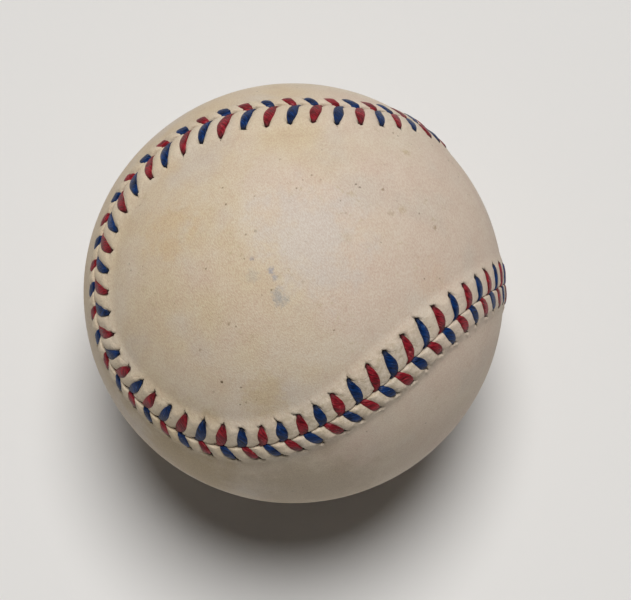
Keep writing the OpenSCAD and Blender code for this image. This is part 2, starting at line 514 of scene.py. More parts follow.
    def height(self, s: np.ndarray, u: np.ndarray) -> np.ndarray:
        """Height of the leather's face above the plain ball.

        Args:
            s: Distances along the seam.
            u: Distances from the middle of the seam, positive on this panel.

        Returns:
            Heights in millimetres.
        """
        seam, work, side = self.seam, self.work, self.side
        along, off, share = self.among_stitches(s, u)
        stitch = np.mod(np.round(along).astype(int), seam.stitch_count)
        pillow = np.mod(np.floor(along).astype(int), seam.stitch_count)
        groove = self.groove_depth * work.pull[side][stitch] * bell(off, self.groove_width)
        swell = self.pillow_rise[side] * work.pull[side][pillow] * np.sin(math.pi * along) ** 2
        swell = swell * (self.pillow_low + (1.0 - self.pillow_low) * np.sin(math.pi * share) ** 0.5)
        sewn = 1.0 - smooth(u - seam.hole_off, *self.sewn_fade)
        rise = self.welt_rise * self.welt(u) + (swell - groove) * sewn
        hole, dx, du = self.from_hole(s, u)
        reach = np.hypot(dx / self.hole_long, du / self.hole_wide)
        folds = np.cos(self.fold_count * np.arctan2(du, dx) + work.pucker[side][hole])
        rise = rise - self.hole_sink * bell(reach, self.hole_sink_reach)
        rise = rise + self.fold_rise * folds * bell(reach - self.fold_reach, 1.0)
        tear, lip = self.torn(s, u)
        rise = rise + self.lip_rise[side] * lip - self.tear_depth * bell(tear, self.tear_width)
        inside = np.clip(u - self.edge(s), 0.0, self.edge_round)
        drop = self.edge_round - np.sqrt(self.edge_round**2 - (self.edge_round - inside) ** 2)
        return np.maximum(rise - drop, self.inner_r - seam.ball_r + self.welt_rise + self.edge_least)

    def torn(self, s: np.ndarray, u: np.ndarray) -> tuple[np.ndarray, np.ndarray]:
        """Where the needle holes are torn, and where the leather stands up beside the tears.

        Args:
            s: Distances along the seam.
            u: Distances from the middle of the seam, positive on this panel.

        Returns:
            Distances to the nearest tear or hole, and shares of the lip's height.
        """
        seam, side = self.seam, self.side
        first = seam.hole_s(0.0, side)
        nearest = np.round((s - first) / seam.pitch).astype(int)
        tear, lip = np.full(s.shape, self.strip_w), np.zeros(s.shape)
        for hole in (nearest - 1, nearest, nearest + 1):
            stitch = np.mod(hole, seam.stitch_count)
            shift, way = self.work.hole_shift[side][stitch], self.work.tear[side][stitch]
            dx = s - first - hole * seam.pitch - shift[..., 0]
            du = u - seam.hole_off - shift[..., 1]
            length = np.hypot(way[..., 0], way[..., 1])
            ahead = (dx * way[..., 0] + du * way[..., 1]) / length
            beside = (du * way[..., 0] - dx * way[..., 1]) / length * np.sign(way[..., 0])
            share = np.clip(ahead / length, 0.0, 1.0)
            slit = np.hypot(ahead - share * length, beside) + self.tear_taper * share
            rim = np.maximum(np.hypot(dx, du) - self.hole_rim, 0.0)
            tear = np.minimum(tear, np.minimum(slit, rim))
            beats = ahead / self.lip_beat * 2.0 * math.pi + self.work.pucker[side][stitch]
            beat = self.lip_even + (1.0 - self.lip_even) * np.cos(beats)
            reach = smooth(ahead, *self.lip_start) * (1.0 - smooth(ahead - length, *self.lip_end))
            lip = np.maximum(lip, bell(beside - self.lip_off, self.lip_width) * reach * beat)
        return tear, lip

    def soil(self, s: np.ndarray, u: np.ndarray) -> np.ndarray:
        """How much dirt and painted shade the sewn strip gets: darker round the holes, beside the stitches
        and in the seam groove, where shade falls.

        Args:
            s: Distances along the seam.
            u: Distances from the middle of the seam, positive on this panel.

        Returns:
            Shares from 0 to 1.
        """
        _, off, _ = self.among_stitches(s, u)
        _, dx, du = self.from_hole(s, u)
        sewn = 1.0 - smooth(u - self.seam.hole_off, *self.soil_fade)
        beside = self.thread_soil * bell(np.abs(off) - self.thread_soil_off, self.thread_soil_w) * sewn
        inside = self.edge_soil * np.exp(-np.maximum(u - self.edge(s), 0.0) / self.edge_soil_w)
        return np.clip(self.hole_soil * bell(np.hypot(dx, du), self.hole_soil_w) + beside + inside, 0.0, 1.0)

    def creased(self, points: np.ndarray, u: np.ndarray) -> np.ndarray:
        """Adds the small creases of sewn leather, and a faint unevenness everywhere.

        Args:
            points: Points of the leather's face.
            u: Their distances from the middle of the seam.

        Returns:
            The points, moved outwards or inwards.
        """
        often, oftener = self.crease_often
        near = self.crease_rise * (1.0 - smooth(u, *self.crease_fade))
        rise = np.empty(len(points))
        for i, point in enumerate(points):
            place = Vector(point)
            fine = noise.noise(place * often) + 0.5 * noise.noise(place * oftener)
            rise[i] = near[i] * fine + self.wave_rise * noise.noise(place * self.wave_often)
        return points * (1.0 + rise / np.linalg.norm(points, axis=1))[:, None]

    def strip(self, rows: Sequence[float], inner: bool) -> Three:
        """Places of one sheet of the sewn strip, row by row from the seam.

        Args:
            rows: Distances from the edge.
            inner: Whether this is the wall inside the ball.

        Returns:
            The s, u and h of the sheet, each shaped rows by columns.
        """
        seam, side = self.seam, self.side
        column = np.arange(self.total) / self.columns
        s = np.repeat(seam.hole_s(column, side)[None, :], len(rows), axis=0)
        base = np.repeat(np.asarray(rows)[:, None], self.total, axis=1)
        u = base + self.edge(s) * (1.0 - smooth(base, *self.edge_fade))
        stitch = np.mod(np.round(column).astype(int), seam.stitch_count)
        shift = self.work.hole_shift[side][stitch]
        dx, du = self.nearest(s - seam.hole_s(0.0, side)), base - seam.hole_off
        cell_s = seam.pitch / self.columns
        ring = np.maximum(np.abs(dx) / cell_s, np.abs(du) / self.hole_cell_u) / self.hole_cells
        length = np.hypot(dx / self.hole_long, du / self.hole_wide)
        wanted = np.where(length > 0.0, ring / np.maximum(length, 1e-6), 1.0)
        more = (wanted - 1.0) * np.clip(self.hole_blend - ring, 0.0, 1.0)
        follow = bell(np.hypot(dx, du), self.hole_follow)
        s = s + dx * more + shift[None, :, 0] * follow
        u = u + du * more + shift[None, :, 1] * follow
        if not inner:
            return s, u, self.height(s, u)
        hollow = 1.0 - smooth(u, *self.hollow_fade)
        return s, u, self.inner_r - seam.ball_r + self.hollow_rise * hollow

    def strip_faces(self, rows: int, first: int, hole_row: int) -> Faces:
        """Faces between the rows of a strip, without those over the needle holes.

        Args:
            rows: How many rows the strip has.
            first: Number of its first vertex.
            hole_row: The row that runs through the middle of the holes.

        Returns:
            Rows of four vertex numbers.
        """
        total, faces = self.total, []
        for row in range(rows - 1):
            low, high = first + row * total, first + (row + 1) * total
            over_hole = hole_row - self.hole_cells <= row < hole_row + self.hole_cells
            for k in range(total):
                off = (k + self.hole_cells) % self.columns
                if over_hole and off < 2 * self.hole_cells:
                    continue
                after = (k + 1) % total
                faces.append([low + k, low + after, high + after, high + k])
        return faces

    def hole_ring(self, first: int, hole_row: int, stitch: int) -> list[int]:
        """The vertices round one needle hole, in order.

        Args:
            first: Number of the strip's first vertex.
            hole_row: The row that runs through the middle of the holes.
            stitch: Number of the hole.

        Returns:
            Their numbers.
        """
        total, reach = self.total, self.hole_cells
        up, down = range(-reach, reach), range(reach, -reach, -1)
        around = ([(-reach, c) for c in up] + [(r, reach) for r in up]
                  + [(reach, c) for c in down] + [(r, -reach) for r in down])
        middle = stitch * self.columns
        return [first + (hole_row + r) * total + (middle + c) % total for r, c in around]

    def lobes(self, ring: np.ndarray) -> tuple[np.ndarray, np.ndarray]:
        """Fills a closed ring of points with an even grid that follows the ball.

        Args:
            ring: Points round the panel, all as far from the middle of the ball.

        Returns:
            The grid's points, and the number in the ring of each edge point, or -1.
        """
        radius, count = float(np.linalg.norm(ring[0])), len(ring)
        across, down = self.lobe_span, count // 2 - self.lobe_span
        quarter = count // 4 if self.side is Side.A else 0
        shift = self.seam.hole_s(0.0, self.side) / self.seam.length * count
        start = quarter - int(round(shift)) - across // 2
        walk = (start + np.arange(count)) % count
        owner = np.full((down + 1, across + 1), -1)
        owner[0, :] = walk[: across + 1]
        owner[:, across] = walk[across: across + down + 1]
        owner[down, ::-1] = walk[across + down: 2 * across + down + 1]
        owner[1:down, 0] = walk[2 * across + down + 1:][::-1]
        edge = owner >= 0
        grid = np.zeros((down + 1, across + 1, 3))
        grid[edge] = ring[owner[edge]]
        share = np.linspace(0.0, 1.0, across + 1)[None, :, None]
        plain = grid[:, :1] * (1.0 - share) + grid[:, -1:] * share
        fade = np.clip(1.0 - np.arange(down + 1) / (across * self.lobe_blend), 0.0, 1.0)[:, None, None]
        filled = plain + fade * (grid[0] - plain[0]) + fade[::-1] * (grid[-1] - plain[-1])
        filled[edge] = grid[edge]
        filled = radius * unit(filled)
        neck = slice(down // 2 - self.neck_rows, down // 2 + self.neck_rows + 1)
        straight = filled[neck].copy()
        for _ in range(self.relax_rounds):
            middle = filled[:-2, 1:-1] + filled[2:, 1:-1] + filled[1:-1, :-2] + filled[1:-1, 2:]
            filled[1:-1, 1:-1] = radius * unit(middle)
            filled[neck] = straight
        return filled, owner

    def build(self, name: str) -> bpy.types.Object:
        """Makes the panel's mesh.

        Args:
            name: Name of the piece.

        Returns:
            The panel, a closed shell.
        """
        seam, total = self.seam, self.total
        points: list[np.ndarray] = []
        kept: dict[str, list[np.ndarray]] = {"soil": [], "welt": [], "tear": [], "lip": []}
        faces: Faces = []
        sheets: list[tuple[int, int, int]] = []
        for inner, rows in ((False, self.outer_rows), (True, self.inner_rows)):
            s, u, h = (values.ravel() for values in self.strip(rows, inner))
            sheet = seam.spot(s, self.side.value * u, h)
            first, hole_row = sum(map(len, points)), rows.index(seam.hole_off)
            faces += self.strip_faces(len(rows), first, hole_row)
            sheets.append((first, hole_row, len(rows)))
            points.append(sheet if inner else self.creased(sheet, u))
            for key, values in zip(kept, (self.soil(s, u), self.welt(u), *self.torn(s, u))):
                kept[key].append(values)
        for stitch in range(seam.stitch_count):
            faces += band(*(self.hole_ring(first, row, stitch) for first, row, _ in sheets))
        faces += band(*(list(range(first, first + total)) for first, _, _ in sheets))
        for (first, _, rows), inner in zip(sheets, (False, True)):
            made, joins = self.fill(first + (rows - 1) * total, sum(map(len, points)), inner)
            points.append(made)
            faces += joins
            for key, parts in kept.items():
                parts.append(np.full(len(made), self.strip_w if key == "tear" else 0.0))
        used, faces = without_loose(faces)
        marks = {key: np.concatenate(parts)[used] for key, parts in kept.items()}
        return mesh_object(name, np.concatenate(points)[used], faces, **marks)

    def fill(self, border: int, first: int, inner: bool) -> tuple[np.ndarray, Faces]:
        """Fills the panel inside its sewn strip.

        Args:
            border: Number of the first vertex of the strip's last row.
            first: Number that the first new vertex gets.
            inner: Whether this is the wall inside the ball.

        Returns:
            New points and faces.
        """
        seam, count = self.seam, self.total // self.thin
        s = seam.hole_s(np.arange(count) * self.thin / self.columns, self.side)
        h = np.full(count, self.inner_r - seam.ball_r if inner else 0.0)
        ring = seam.spot(s, np.full(count, self.side.value * self.inset_w), h)
        faces = []
        for k in range(count):
            fine = [border + (self.thin * k + i) % self.total for i in range(self.thin + 1)]
            here, after = first + k, first + (k + 1) % count
            faces += [[fine[0], fine[1], here], [fine[1], fine[2], here], [fine[2], after, here],
                      [fine[2], fine[3], after], [fine[3], fine[4], after]]
        grid, owner = self.lobes(ring)
        inside = owner < 0
        number = owner + first
        number[inside] = first + count + np.arange(int(inside.sum()))
        corners = (number[:-1, :-1], number[:-1, 1:], number[1:, 1:], number[1:, :-1])
        faces += np.stack(corners, axis=-1).reshape(-1, 4).tolist()
        made = np.concatenate([ring, grid[inside]])
        return (made if inner else self.creased(made, np.full(len(made), self.inset_w))), faces


def band(upper: list[int], lower: list[int]) -> Faces:
    """Faces between two closed rings of as many vertices."""
    count = len(upper)
    return [[upper[k], upper[(k + 1) % count], lower[(k + 1) % count], lower[k]] for k in range(count)]


def without_loose(faces: Faces) -> tuple[np.ndarray, Faces]:
    """Finds the points that faces use, leaving out those over the needle holes.

    Args:
        faces: Rows of vertex numbers.

    Returns:
        The numbers of the points that are used, and the faces with new numbers.
    """
    used = np.unique(np.concatenate([np.asarray(face) for face in faces]))
    number = np.full(used[-1] + 1, -1)
    number[used] = np.arange(len(used))
    return used, [[int(number[v]) for v in face] for face in faces]


@dataclass(frozen=True)
class Hold:
    """One place on a thread's way over and under the leather.

    along and across are shares of a stitch, from its hole to its dive and from the seam
    to its hole. The next three are real sizes, the next is the dirt and painted shade where the thread
    goes into the leather, from 0 to 1, and rings is how many rings of vertices reach from here to the next
    place.
    """

    along: float
    across: float
    height: float
    width: float
    thickness: float
    soil: float
    rings: int


@dataclass
class SeamThread:
    """One unbroken waxed thread, which sews both panels in turn."""

    seam: Seam
    work: Handwork
    first_side: Side
    ways: dict[Side, tuple[Hold, ...]] = field(default_factory=lambda: {
        Side.A: (
            Hold(-0.04, 1.04, -0.80, 0.60, 0.40, 1.0, 3),
            Hold(0.00, 1.05, -0.20, 0.56, 0.42, 1.0, 4),
            Hold(0.02, 0.98, 0.26, 0.76, 0.46, 0.5, 4),
            Hold(0.11, 0.81, 0.50, 1.36, 0.54, 0.08, 5),
            Hold(0.28, 0.53, 0.62, 1.80, 0.58, 0.0, 5),
            Hold(0.50, 0.26, 0.54, 1.62, 0.54, 0.0, 5),
            Hold(0.74, 0.10, 0.40, 1.12, 0.50, 0.0, 4),
            Hold(1.02, 0.02, 0.16, 0.62, 0.44, 0.1, 4),
            Hold(1.22, -0.02, -0.30, 0.46, 0.38, 0.6, 3),
            Hold(1.24, -0.10, -0.80, 0.60, 0.40, 1.0, 3),
        ),
        Side.B: (
            Hold(-0.04, 1.04, -0.80, 0.70, 0.40, 1.0, 3),
            Hold(0.00, 1.05, -0.20, 0.60, 0.42, 1.0, 4),
            Hold(0.04, 0.98, 0.24, 0.88, 0.48, 0.55, 4),
            Hold(0.15, 0.84, 0.48, 1.56, 0.54, 0.1, 5),
            Hold(0.34, 0.60, 0.60, 1.84, 0.56, 0.0, 5),
            Hold(0.60, 0.34, 0.56, 1.74, 0.56, 0.0, 5),
            Hold(0.86, 0.13, 0.40, 1.52, 0.52, 0.05, 4),
            Hold(1.06, -0.02, -0.12, 1.14, 0.44, 0.7, 3),
            Hold(1.15, -0.08, -0.80, 0.70, 0.40, 1.0, 3),
        ),
    })
    tail_share: float = 0.3
    ring_points: int = 18
    plies: int = 3
    ply_depth: float = 0.075
    twist_length: float = 5.5
    squareness: float = 0.86
    uv_length: float = 10.0

    def keys(self) -> np.ndarray:
        """Places of the whole thread.

        Returns:
            Its s, u, h, width, thickness, and dirt and painted shade, one row for each place.
        """
        seam, side, rows = self.seam, self.first_side, []
        for i in range(seam.stitch_count):
            hole, dive = seam.hole_s(i, side), seam.dive_s(i, side)
            shift = self.work.hole_shift[side][i]
            for hold in self.ways[side]:
                pull = np.clip(hold.across, 0.0, 1.0)
                s = hole + (dive - hole) * hold.along + shift[0] * pull
                u = side.value * (seam.hole_off * hold.across + shift[1] * pull)
                width = hold.width * (self.work.width[side][i] if hold.height > 0.0 else 1.0)
                rows.append([s, u, hold.height, width, hold.thickness, hold.soil])
            side = side.other
        body = np.array(rows)
        lap = np.array([seam.length, 0.0, 0.0, 0.0, 0.0, 0.0])
        start = body[:1] + self.tail_share * (body[-1:] - lap - body[:1])
        end = body[-1:] + self.tail_share * (body[:1] + lap - body[-1:])
        return np.concatenate([start, body, end])

    def course(self) -> np.ndarray:
        """The places between the keys, on one smooth way.

        Returns:
            Their s, u, h, width, thickness, and dirt and painted shade, one row for each ring of vertices.
        """
        keys = self.keys()
        turns = (self.first_side, self.first_side.other) * (self.seam.stitch_count // 2)
        counts = [hold.rings for side in turns for hold in self.ways[side]]
        counts = [counts[-1]] + counts
        slope = np.empty_like(keys)
        slope[1:-1] = (keys[2:] - keys[:-2]) / 2.0
        slope[0], slope[-1] = keys[1] - keys[0], keys[-1] - keys[-2]
        parts = []
        for i, count in enumerate(counts[: len(keys) - 1]):
            t = np.arange(count)[:, None] / count
            parts.append((2 * t**3 - 3 * t**2 + 1) * keys[i] + (t**3 - 2 * t**2 + t) * slope[i]
                         + (3 * t**2 - 2 * t**3) * keys[i + 1] + (t**3 - t**2) * slope[i + 1])
        return np.concatenate(parts + [keys[-1:]])

    def build(self, name: str) -> bpy.types.Object:
        """Makes the thread's mesh.

        Args:
            name: Name of the piece.

        Returns:
            The thread, a closed tube whose UV map runs along it.
        """
        s, u, h, width, thickness, soil = self.course().T
        middle = self.seam.spot(s, u, h)
        ahead = unit(np.gradient(middle, axis=0))
        wide = self.seam.frame(s)[1]
        wide = unit(wide - np.sum(wide * ahead, axis=1, keepdims=True) * ahead)
        thick = np.cross(ahead, wide)
        gone = np.concatenate([[0.0], np.cumsum(np.linalg.norm(np.diff(middle, axis=0), axis=1))])
        turn = np.linspace(0.0, 2.0 * math.pi, self.ring_points, endpoint=False)[None, :]
        twist = gone[:, None] * 2.0 * math.pi / self.twist_length
        ply = 1.0 + self.ply_depth * np.cos(self.plies * turn - twist)
        rings = middle[:, None]
        for wave, size, way in ((np.cos(turn), width, wide), (np.sin(turn), thickness, thick)):
            reach = np.sign(wave) * np.abs(wave) ** self.squareness * ply * size[:, None] / 2.0
            rings = rings + reach[..., None] * way[:, None]
        n, last = self.ring_points, (len(middle) - 1) * self.ring_points
        chart = gone / self.uv_length
        faces, marks = [], []
        for i, (near, far) in enumerate(zip(chart[:-1], chart[1:])):
            here, after = i * n, (i + 1) * n
            for j in range(n):
                k = (j + 1) % n
                faces.append([here + j, here + k, after + k, after + j])
                marks += [(near, j / n), (near, (j + 1) / n), (far, (j + 1) / n), (far, j / n)]
        for end, place in ((list(range(n))[::-1], chart[0]), (list(range(last, last + n)), chart[-1])):
            faces.append(end)
            marks += [(place, 0.5)] * n
        return mesh_object(name, rings.reshape(-1, 3), faces, marks, soil=np.repeat(soil, n))


class Wire:
    """A shader value that Python's own operators work on, adding Math nodes as they go."""

    def __init__(self, board: Board, socket: bpy.types.NodeSocket) -> None:
        """Keeps the node's output and the board that it lies on."""
        self.board = board
        self.socket = socket

    def __add__(self, other: Value) -> Wire:
        """Adds."""
        return self.board.maths("ADD", self, other)

    __radd__ = __add__

    def __sub__(self, other: Value) -> Wire:
        """Takes away."""
        return self.board.maths("SUBTRACT", self, other)

    def __rsub__(self, other: Value) -> Wire:
        """Takes this from a number."""
        return self.board.maths("SUBTRACT", other, self)

    def __mul__(self, other: Value) -> Wire:
        """Multiplies."""
        return self.board.maths("MULTIPLY", self, other)

    __rmul__ = __mul__

    def __truediv__(self, other: Value) -> Wire:
        """Divides."""
        return self.board.maths("DIVIDE", self, other)

    def __rtruediv__(self, other: Value) -> Wire:
        """Divides a number by this."""
        return self.board.maths("DIVIDE", other, self)

    def eased(self, low: float, high: float) -> Wire:
        """Rises gently from 0 at low to 1 at high, or falls where high is the lower."""
        return self.board.wire("ShaderNodeMapRange", 0, {"interpolation_type": "SMOOTHSTEP"},
                               {0: self, 1: low, 2: high, 3: 0.0, 4: 1.0})


Value = Wire | float
Anything = Wire | float | Sequence[float]


class Board:
    """The nodes of one material or world."""

    def __init__(self, owner: bpy.types.Material | bpy.types.World) -> None:
        """Starts with an empty tree.

        Args:
            owner: What the nodes belong to.
        """
        owner.use_nodes = True
        self.tree = owner.node_tree
        self.tree.nodes.clear()

    def node(self, kind: str, settings: dict[str, Any] | None = None,
             inputs: dict[int | str, Anything] | None = None) -> bpy.types.Node:
        """Adds one node.

        Args:
            kind: Its type.
            settings: Its own properties, which are set first.
            inputs: A value or a wire for each of its sockets.

        Returns:
            The node.
        """
        made = self.tree.nodes.new(kind)
        for key, value in (settings or {}).items():
            setattr(made, key, value)
        for key, value in (inputs or {}).items():
            self.feed(made.inputs[key], value)
        return made

    def wire(self, kind: str, output: int | str, settings: dict[str, Any] | None = None,
             inputs: dict[int | str, Anything] | None = None) -> Wire:
        """Adds one node in the same way, and takes one of its outputs."""
        return Wire(self, self.node(kind, settings, inputs).outputs[output])

    def feed(self, socket: bpy.types.NodeSocket, value: Anything) -> None:
        """Links a wire to a socket, or sets the socket's own value.

        Args:
            socket: The input.
            value: A wire, a number, or the numbers of a colour or a vector.
        """
        if isinstance(value, Wire):
            self.tree.links.new(value.socket, socket)
        elif socket.type == "RGBA" and not isinstance(value, float):
            socket.default_value = (*value, 1.0)
        else:
            socket.default_value = value

    def maths(self, operation: str, *values: Value) -> Wire:
        """Works on numbers with one Math node."""
        return self.wire("ShaderNodeMath", 0, {"operation": operation}, dict(enumerate(values)))


class PaintBoard(Board):
    """The nodes of one material, with a Principled shader at their end.

    All its sizes are in millimetres.
    """

    def __init__(self, name: str) -> None:
        """Starts a material with nothing but its shader.

        Args:
            name: The material's name.
        """
        self.material = bpy.data.materials.new(name)
        super().__init__(self.material)
        self.shader = self.node("ShaderNodeBsdfPrincipled")
        self.node("ShaderNodeOutputMaterial", inputs={"Surface": Wire(self, self.shader.outputs[0])})
        self.place = self.vector("SCALE", self.wire("ShaderNodeTexCoord", "Object"), scale=1.0 / MM)

    def vector(self, operation: str, *values: Anything, scale: float | None = None) -> Wire:
        """Works on vectors with one Vector Math node.

        Args:
            operation: What it does.
            values: Its vectors.
            scale: The number that SCALE multiplies by.

        Returns:
            A number for a distance or a dot product, and otherwise a vector.
        """
        inputs: dict[int | str, Anything] = dict(enumerate(values))
        if scale is not None:
            inputs["Scale"] = scale
        output = "Value" if operation in ("DISTANCE", "DOT_PRODUCT") else "Vector"
        return self.wire("ShaderNodeVectorMath", output, {"operation": operation}, inputs)

    def moved(self, *by: float) -> Wire:
        """The place moved by this much, where the same noise looks different."""
        return self.vector("ADD", self.place, by)

    def cloud(self, size: float, detail: float = 2.0, rough: float = 0.5, where: Wire | None = None,
              warp: float = 0.0, output: int | str = 0) -> Wire:
        """Soft noise, from 0 to 1.

        Args:
            size: About how wide its patches are.
            detail: How many finer layers it has.
            rough: How strong the finer layers are.
            where: A place in space in place of the plain one.
            warp: How far it is pulled out of shape.
            output: The output that is taken: the value, or Color for three at once.

        Returns:
            The noise.
        """
        return self.wire("ShaderNodeTexNoise", output, {"noise_dimensions": "3D"},
                         {"Vector": where or self.place, "Scale": 1.0 / size, "Detail": detail,
                          "Roughness": rough, "Distortion": warp})

    def swirl(self, size: float) -> Wire:
        """A direction that wanders over about this distance."""
        return self.vector("SUBTRACT", self.cloud(size, output="Color"), (0.5, 0.5, 0.5))

    def cells(self, size: float, where: Wire | None = None, feature: str = "F1") -> Wire:
        """Distance to points about this far apart, or to the edge between two, as a share of the gap."""
        return self.wire("ShaderNodeTexVoronoi", "Distance", {"feature": feature},
                         {"Vector": where or self.place, "Scale": 1.0 / size})

    def blend(self, share: Value, first: Anything, second: Anything, kind: str = "MIX") -> Wire:
        """Mixes two colours."""
        return self.wire("ShaderNodeMix", 2, {"data_type": "RGBA", "blend_type": kind},
                         {0: share, 6: first, 7: second})

    def shaded(self, colour: Anything, pattern: Wire, spread: float, share: float) -> Wire:
        """Makes a colour darker and lighter after a pattern, by this spread round middle grey."""
        greys = self.blend(pattern, (0.5 - spread,) * 3, (0.5 + spread,) * 3)
        return self.blend(share, colour, greys, "OVERLAY")

    def attribute(self, name: str) -> Wire:
        """A number that the mesh keeps at its points."""
        return self.wire("ShaderNodeAttribute", "Fac", {"attribute_name": name})

    def relief(self, height: Wire, depth: float) -> Wire:
        """Turns a height from 0 to 1 into a bump of this depth."""
        return self.wire("ShaderNodeBump", 0, inputs={"Height": height, "Distance": depth * MM})

    def coat(self, piece: bpy.types.Object, colour: Anything, roughness: Value, normal: Wire | None = None,
             **sockets: float) -> None:
        """Wires the shader and puts the material on a piece.

        Args:
            piece: The object to paint.
            colour: Base colour.
            roughness: Roughness.
            normal: The end of the relief.
            sockets: Other sockets of the shader, their spaces as underscores.
        """
        self.feed(self.shader.inputs["Base Color"], colour)
        self.feed(self.shader.inputs["Roughness"], roughness)
        if normal is not None:
            self.feed(self.shader.inputs["Normal"], normal)
        for key, value in sockets.items():
            self.shader.inputs[key.replace("_", " ")].default_value = value
        piece.data.materials.clear()
        piece.data.materials.append(self.material)


@dataclass(frozen=True)
class ColourPatch:
    """A soft patch of another colour, at a point of the ball."""

    place: tuple[float, float, float]
    reach: float
    colour: Colour
    strength: float


@dataclass(frozen=True)
class AgedLeather:
    """Cream leather gone yellow in places, with a fine grain and specks, seams darkened by dirt and painted
    shade, and torn holes painted near black as shade.
    """

    cream: Colour = srgb(213, 197, 176)
    tan: Colour = srgb(207, 185, 152)
    rose: Colour = srgb(211, 190, 172)
    grey: Colour = srgb(205, 191, 175)
    speck: Colour = srgb(112, 92, 62)
    olive: Colour = srgb(178, 160, 122)
    # Dirt and painted shade for the seams, the stitch sides and round the holes.
    dirt_and_shade: Colour = srgb(62, 46, 35)
    # Near black for the torn holes and tears: painted shade inside them.
    pit: Colour = srgb(28, 21, 19)
    fresh: Colour = srgb(220, 206, 184)
    dingy: Colour = srgb(164, 148, 116)
    grain_size: float = 0.19
    grain_stretch: tuple[float, float, float] = (1.0, 0.45, 1.0)
    speck_gap: float = 2.3
    crease_gap: float = 2.1
    relief_depth: float = 0.075
    gloss: float = 0.3
    handled_place: tuple[float, float, float] = (0.0, -28.0, 23.5)
    handled_fade: tuple[float, float] = (25.0, 11.0)
    tan_side: tuple[float, float, float] = (-0.46, 0.34, 0.82)
    rose_side: tuple[float, float, float] = (0.62, -0.32, 0.72)
    stains_and_shade: tuple[ColourPatch, ...] = (
        ColourPatch((-5.1, -2.1, 36.7), 0.85, srgb(138, 145, 162), 0.62),
        ColourPatch((-5.0, -3.4, 36.5), 0.75, srgb(144, 150, 162), 0.55),
        ColourPatch((-5.8, -6.0, 36.2), 1.5, srgb(164, 162, 158), 0.6),
        ColourPatch((-5.9, -7.2, 35.9), 1.3, srgb(160, 158, 154), 0.6),
        ColourPatch((-4.8, -7.3, 36.0), 0.8, srgb(158, 158, 152), 0.5),
        ColourPatch((-7.1, 1.1, 36.3), 0.55, srgb(126, 126, 140), 0.5),
        ColourPatch((-8.1, -1.5, 36.1), 1.6, srgb(176, 168, 156), 0.4),
        ColourPatch((2.6, 7.4, 36.2), 0.42, srgb(142, 122, 84), 0.6),
        ColourPatch((-4.6, 5.1, 36.4), 0.34, srgb(112, 98, 70), 0.7),
        ColourPatch((0.4, -0.6, 37.1), 0.42, srgb(150, 122, 92), 0.5),
        ColourPatch((-1.2, -5.9, 36.6), 0.34, srgb(150, 128, 92), 0.6),
        ColourPatch((10.2, 1.8, 35.6), 0.34, srgb(138, 116, 88), 0.6),
        ColourPatch((14.0, 5.9, 33.8), 0.3, srgb(112, 98, 78), 0.8),
        ColourPatch((14.4, 5.2, 33.8), 0.3, srgb(112, 98, 78), 0.8),
        ColourPatch((17.9, 3.6, 32.3), 0.38, srgb(138, 112, 78), 0.6),
        ColourPatch((8.4, -2.0, 36.0), 1.5, srgb(190, 170, 138), 0.5),
        ColourPatch((25.2, 9.2, 25.6), 1.2, srgb(184, 164, 124), 0.5),
        ColourPatch((12.6, 4.4, 34.6), 1.0, srgb(188, 168, 128), 0.4),
        ColourPatch((19.5, -0.7, 31.5), 1.1, srgb(186, 164, 126), 0.4),
        ColourPatch((17.3, -0.8, 32.7), 0.8, srgb(160, 140, 108), 0.35),
        ColourPatch((23.6, -5.2, 28.1), 0.6, srgb(150, 126, 92), 0.6),
        ColourPatch((-19.6, -14.0, 28.1), 0.34, srgb(92, 72, 46), 0.9),
        ColourPatch((-20.8, -7.9, 29.7), 0.4, srgb(146, 124, 96), 0.5),
        ColourPatch((-14.9, -6.6, 33.3), 0.4, srgb(140, 118, 86), 0.55),
        ColourPatch((-14.0, -19.4, 28.3), 5.5, srgb(196, 172, 134), 0.5),
        ColourPatch((19.4, -13.0, 28.8), 4.5, srgb(212, 182, 155), 0.3),
        ColourPatch((3.0, -0.7, 36.8), 12.0, srgb(206, 194, 182), 0.75),
        ColourPatch((-16.5, 12.8, 30.7), 7.0, srgb(208, 180, 140), 0.5),
        # The last two wide, darker patches lie at the bottom of the ball as the camera sees it: painted
        # shade.
        ColourPatch((-29.5, -20.5, 9.0), 17.0, srgb(184, 160, 116), 0.6),
        ColourPatch((-12.5, -34.0, 7.0), 19.0, srgb(182, 164, 138), 0.6),
    )

    def paint(self, piece: bpy.types.Object) -> None:
        """Dresses a panel.

        Args:
            piece: The panel, which keeps its dirt and painted shade, its welt, its tears and their lips.
        """
        board = PaintBoard(f"{piece.name}_leather")
        soil, welt = board.attribute("soil"), board.attribute("welt")
        drawn = board.vector("MULTIPLY", board.place, self.grain_stretch)
        grain = board.cloud(self.grain_size, 1.0, 0.6, where=drawn)
        colour = self.specked(board, self.add_stains_and_shade(board, self.patches(board)))
        colour = board.shaded(colour, grain.eased(0.3, 0.7), 0.11, 0.5)
        colour = self.worn(board, colour, welt)
        ragged = board.cloud(0.4, 3.0, 0.7) - 0.5
        # Darker round the holes, beside the stitches and in the seam: dirt and painted shade.
        grime_and_shade = (soil + ragged * 1.3 * soil).eased(0.15, 0.85)
        colour = board.blend(grime_and_shade * 0.85, colour, self.dirt_and_shade)
        # The torn holes and tears are painted near black: painted shade inside them.
        pit = (board.attribute("tear") + ragged * 0.35).eased(0.3, 0.1)
        colour = board.blend(pit * 0.97, colour, self.pit)
        height = grain * 0.7 + board.cloud(1.3, 3.0, 0.6) * 0.5 - pit * 1.5
        bent = board.vector("ADD", board.place, board.vector("SCALE", board.swirl(1.2), scale=1.3))
        creases = board.cells(self.crease_gap, bent, "DISTANCE_TO_EDGE").eased(0.0, 0.1) * 0.45 * welt
        rough = board.cloud(6.0, 2.0) * 0.16 + 0.5 + soil * 0.25
        normal = board.relief(height + creases, self.relief_depth)
        board.coat(piece, colour, rough, normal, Specular_IOR_Level=self.gloss)

